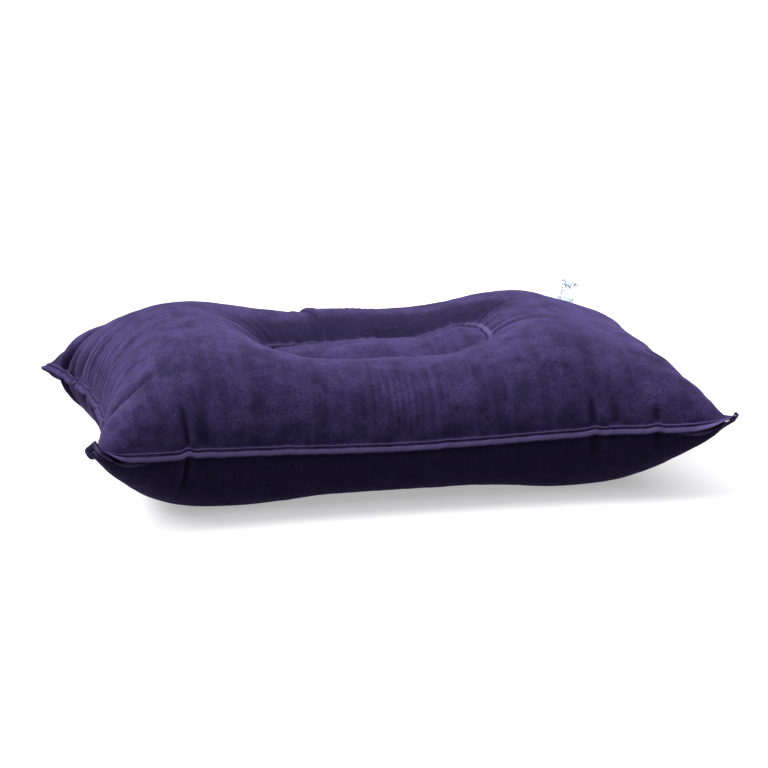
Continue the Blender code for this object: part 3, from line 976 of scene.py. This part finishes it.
def build_stem(valve, vinyl):
    """Mouthpiece: a tube with a flared lip, grip rings, the skirt's collar and a lug for the strap."""
    outer = [(0.0056, -0.0090), (0.0056, -0.0084), (0.0053, -0.0080), (0.0053, 0.0020), (0.0056, 0.0024),
             (0.0062, 0.0024), (0.0062, 0.0036), (0.0056, 0.0036), (0.0053, 0.0040)]
    for height in (0.0062, 0.0082, 0.0102):
        outer += [(0.0053, height - 0.0004), (0.0056, height - 0.0001), (0.0056, height + 0.0001),
                  (0.0053, height + 0.0004)]
    outer += [(0.0053, 0.0128), (0.0060, 0.0136), (0.0063, 0.0140), (0.0063, 0.0148), (0.0061, 0.0150)]
    inner = [(0.0043, 0.0150), (0.0040, 0.0146), (0.0040, -0.0090)]
    obj = turned("mouthpiece", outer + inner, 72)
    lug = slab((0.0047, -0.0020, 0.0126), (0.0073, 0.0020, 0.0138))
    join_on(obj, lug)
    soften(obj, 0.00012, 2)
    place_on_valve(obj, valve)
    stand_for(obj, "stem", "valve_stem", vinyl)


def build_flap(valve, vinyl):
    """Check flap: a soft disc with a raised seat ring."""
    section = [(0.0006, -0.0094), (0.0030, -0.0094), (0.0033, -0.0093), (0.0036, -0.0093), (0.0039, -0.0094),
               (0.0045, -0.0094), (0.0046, -0.0096), (0.0045, -0.0098), (0.0006, -0.0098)]
    obj = turned("breath_flap", section, 64, closed=False)
    soften(obj, 0.00004, 2)
    place_on_valve(obj, valve)
    stand_for(obj, "flap", "check_flap", vinyl)


def build_plug(valve, vinyl):
    """Hollow tapered plug under a dished cap, with a ribbed pull tab."""
    section = [(0.0018, 0.0125), (0.0022, 0.0113), (0.0027, 0.0111), (0.0029, 0.0113), (0.0036, 0.0150),
               (0.0038, 0.0153), (0.0054, 0.0153), (0.0056, 0.0155), (0.0056, 0.0164), (0.0053, 0.0167),
               (0.0044, 0.0167), (0.0038, 0.0165), (0.0012, 0.0164)]
    obj = turned("stopper", section, 72, closed=False)
    tab = slab((-0.0101, -0.0025, 0.0157), (-0.0046, 0.0025, 0.0166))
    begin_edit(tab)
    bpy.ops.mesh.select_mode(type="EDGE")
    bpy.ops.mesh.select_all(action="DESELECT")
    end_edit()
    for edge in tab.data.edges:
        ends = [tab.data.vertices[v].co for v in edge.vertices]
        edge.select = all(end.x < -0.009 for end in ends) and abs(ends[0].z - ends[1].z) > 0.0005
    begin_edit(tab)
    bpy.ops.mesh.bevel(offset=0.0022, segments=8, affect="EDGES")
    end_edit()
    join_on(obj, tab)
    for x in (-0.0070, -0.0079, -0.0088):
        join_on(obj, slab((x - 0.00018, -0.0019, 0.0160), (x + 0.00018, 0.0019, 0.0169)))
    soften(obj, 0.00012, 2)
    place_on_valve(obj, valve)
    stand_for(obj, "plug", "valve_plug", vinyl)


def build_strap(valve, vinyl):
    """Strap from the cap's edge round to the thin root that the stopper swings on."""
    slab((0.0059, -0.0017, 0.0155), (0.0062, 0.0017, 0.0163))
    obj = named("stopper_strap")
    end = max(obj.data.polygons, key=lambda face: face.center.x).index
    begin_edit(obj)
    bpy.ops.mesh.select_mode(type="FACE")
    bpy.ops.mesh.select_all(action="DESELECT")
    end_edit()
    obj.data.polygons[end].select = True
    begin_edit(obj)
    bpy.ops.mesh.extrude_region_move(TRANSFORM_OT_translate={"value": (0.0013, 0, 0)})
    bpy.ops.mesh.spin(steps=8, angle=math.pi / 2, center=(0.0075, 0, 0.0147), axis=(0, 1, 0),
                      use_auto_merge=False)
    bpy.ops.mesh.extrude_region_move(TRANSFORM_OT_translate={"value": (0, 0, -0.0004)})
    bpy.ops.transform.resize(value=(0.6, 1, 1), center_override=(0.0083, 0, 0.0143))
    bpy.ops.mesh.extrude_region_move(TRANSFORM_OT_translate={"value": (-0.0001, 0, -0.0005)})
    bpy.ops.mesh.select_all(action="SELECT")
    bpy.ops.mesh.remove_doubles(threshold=1e-6)
    bpy.ops.mesh.normals_make_consistent(inside=False)
    end_edit()
    soften(obj, 0.00014, 2)
    place_on_valve(obj, valve)
    stand_for(obj, "plug", "plug_strap", vinyl)


# Name, direction, width in degrees, strength
SUNS = (
    ("window", (-0.72, 0.22, 0.68), 45, 2.7),
    ("soft_top", (0.1, 0.4, 1), 80, 0.75),
    ("front_fill", (-0.30, -0.80, 0.40), 60, 0.10),
)


def build_stage():
    deselect()
    bpy.ops.mesh.primitive_plane_add(size=16, location=(0, 0, -0.0003))
    floor = bpy.context.object
    floor.name = "studio_floor"
    floor.visible_diffuse = False
    material = bpy.data.materials.new("studio_floor")
    material.use_nodes = True
    shader = material.node_tree.nodes["Principled BSDF"]
    shader.inputs["Base Color"].default_value = (0.92, 0.92, 0.93, 1)
    shader.inputs["Roughness"].default_value = 0.9
    shader.inputs["Specular IOR Level"].default_value = 0.1
    shader.inputs["Emission Color"].default_value = (1, 1, 1, 1)
    shader.inputs["Emission Strength"].default_value = 0.40
    floor.data.materials.append(material)
    world = bpy.data.worlds.new("studio")
    world.use_nodes = True
    w = Wiring(world.node_tree)
    height = w.add("ShaderNodeSeparateXYZ", {"Vector": w.add("ShaderNodeTexCoord").outputs["Generated"]})
    above = w.ramp(height.outputs["Z"], -0.05, 0.9)
    backdrop = w.nodes["Background"]
    w.feed(backdrop.inputs["Color"], w.blend(above, (0.05, 0.05, 0.06, 1), (1.0, 0.98, 1.0, 1)))
    backdrop.inputs["Strength"].default_value = 0.75
    bpy.context.scene.world = world
    for name, direction, angle, strength in SUNS:
        light = bpy.data.lights.new(name, "SUN")
        light.energy = strength
        light.angle = math.radians(angle)
        lamp = bpy.data.objects.new(name, light)
        bpy.context.scene.collection.objects.link(lamp)
        lamp.rotation_mode = "QUATERNION"
        lamp.rotation_quaternion = Vector(direction).to_track_quat("Z", "Y")
    bpy.context.scene.view_settings.view_transform = "Standard"


def build_camera():
    yaw, rise, far, focal = math.radians(-12.25), math.radians(14.2), 2.114, 133.7
    back = Vector((math.sin(yaw) * math.cos(rise), -math.cos(yaw) * math.cos(rise), math.sin(rise)))
    data = bpy.data.cameras.new("camera")
    data.lens = focal
    data.sensor_width = 36
    data.shift_x = 0.0084
    data.shift_y = 0.0086
    camera = bpy.data.objects.new("camera", data)
    bpy.context.scene.collection.objects.link(camera)
    camera.location = Vector((0, 0, 0.058)) + back * far
    camera.rotation_mode = "QUATERNION"
    camera.rotation_quaternion = (-back).to_track_quat("-Z", "Y")
    bpy.context.scene.camera = camera


build_camera()
build_stage()
points, grid = inflate()
valve = valve_frame()
build_sheets(points, grid, valve)
haze = haze_group()
milky = clear_vinyl("milky_web", haze, (0.62, 0.60, 0.70), (0.78, 0.77, 0.82), 0.35, 0.4)
soft_clear = clear_vinyl("soft_clear", haze, (0.88, 0.93, 1.0), (0.94, 0.97, 1.0), 0.12, 0.94)
firm_clear = clear_vinyl("firm_clear", haze, (0.88, 0.94, 1.0), (0.94, 0.97, 1.0), 0.08, 0.96)
build_band(points, grid, milky)
build_flange(valve, soft_clear)
build_skirt(valve, soft_clear)
build_stem(valve, firm_clear)
build_flap(valve, soft_clear)
build_plug(valve, firm_clear)
build_strap(valve, soft_clear)
